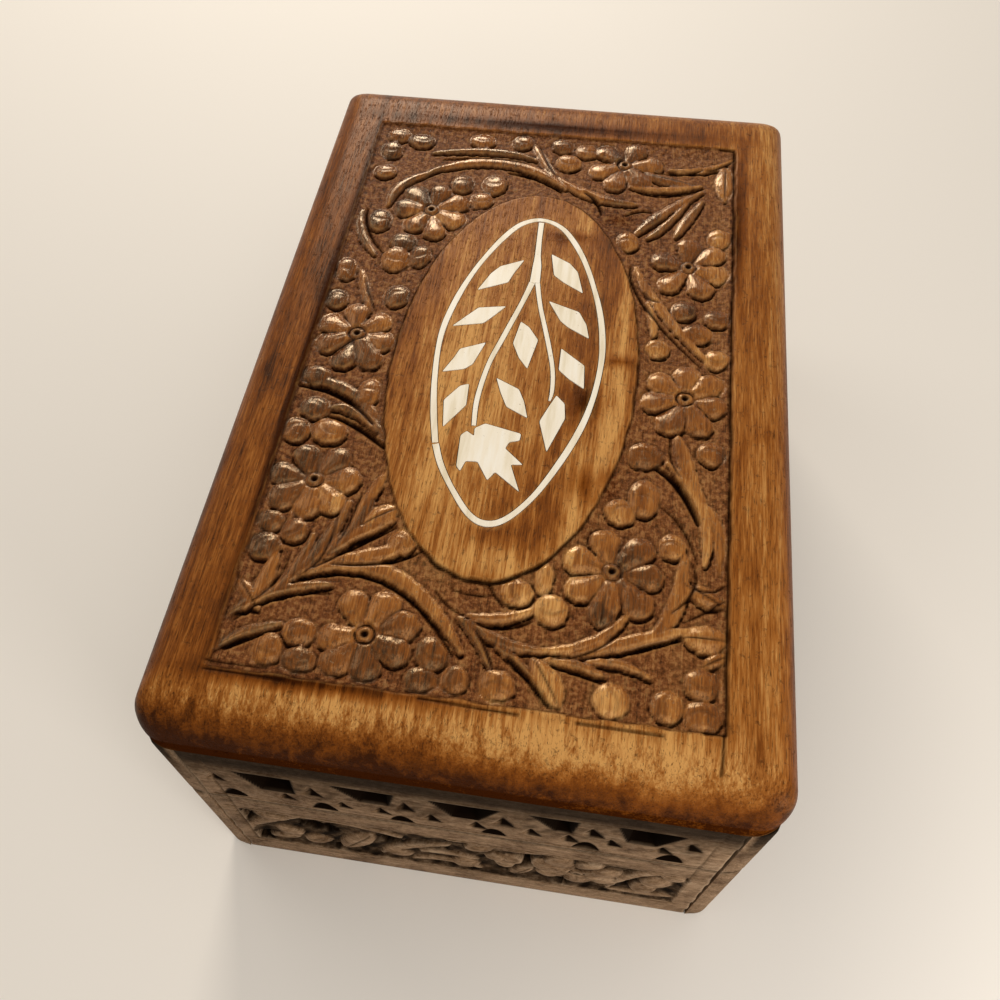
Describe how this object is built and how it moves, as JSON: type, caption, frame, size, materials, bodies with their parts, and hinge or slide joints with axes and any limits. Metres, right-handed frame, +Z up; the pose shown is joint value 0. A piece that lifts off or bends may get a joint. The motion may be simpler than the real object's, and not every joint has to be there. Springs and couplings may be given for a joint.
{
  "type": "trinket box",
  "caption": "Rectangular hinged wooden keepsake box with a thick round-edged lid board, relief-carved flowers, an oval white inlay panel and carved bands on the walls.",
  "frame": {"origin": "middle of the footprint, on the surface that the box stands on", "axes": "+Z up, +Y along the box away from the viewed end wall, +X towards the hinged long wall"},
  "size_m": [0.127, 0.203, 0.092],
  "materials": {
    "lid_board_wood": "waxed",
    "wall_wood": "dull",
    "bottom_panel_wood": "raw",
    "ivory_inlay": "satin",
    "brass": "satin",
    "brass_screws": "satin",
    "steel_nails": "dull"
  },
  "bodies": {
    "box": {"body_back_board": "wall_wood", "body_corner_brads": "steel_nails", "body_front_board": "wall_wood", "body_left_board": "wall_wood", "body_right_board": "wall_wood", "bottom_brads": "steel_nails", "bottom_panel": "bottom_panel_wood", "hinge_back_body_leaf": "brass", "hinge_back_body_screws": "brass_screws", "hinge_back_pin": "brass", "hinge_front_body_leaf": "brass", "hinge_front_body_screws": "brass_screws", "hinge_front_pin": "brass"},
    "lid": {"inlay_leaf_left_1": "ivory_inlay", "inlay_leaf_left_2": "ivory_inlay", "inlay_leaf_left_3": "ivory_inlay", "inlay_leaf_left_4": "ivory_inlay", "inlay_leaf_middle_1": "ivory_inlay", "inlay_leaf_middle_2": "ivory_inlay", "inlay_leaf_right_1": "ivory_inlay", "inlay_leaf_right_2": "ivory_inlay", "inlay_leaf_right_3": "ivory_inlay", "inlay_leaf_tip": "ivory_inlay", "inlay_left_stem": "ivory_inlay", "inlay_main_stem": "ivory_inlay", "inlay_plane_leaf": "ivory_inlay", "inlay_right_stem": "ivory_inlay", "inlay_ring": "ivory_inlay", "lid_back_board": "wall_wood", "lid_corner_brads": "steel_nails", "lid_front_board": "wall_wood", "lid_left_board": "wall_wood", "lid_right_board": "wall_wood", "lid_top_board": "lid_board_wood", "lid_top_brads": "steel_nails", "hinge_back_lid_leaf": "brass", "hinge_back_lid_screws": "brass_screws", "hinge_front_lid_leaf": "brass", "hinge_front_lid_screws": "brass_screws"}
  },
  "joints": [
    {"name": "lid_hinge", "type": "hinge", "parent": "box", "child": "lid", "pos_m": [0.06232, 0, 0.047], "axis": [0, 1, 0], "range_deg": [0, 103]}
  ]
}
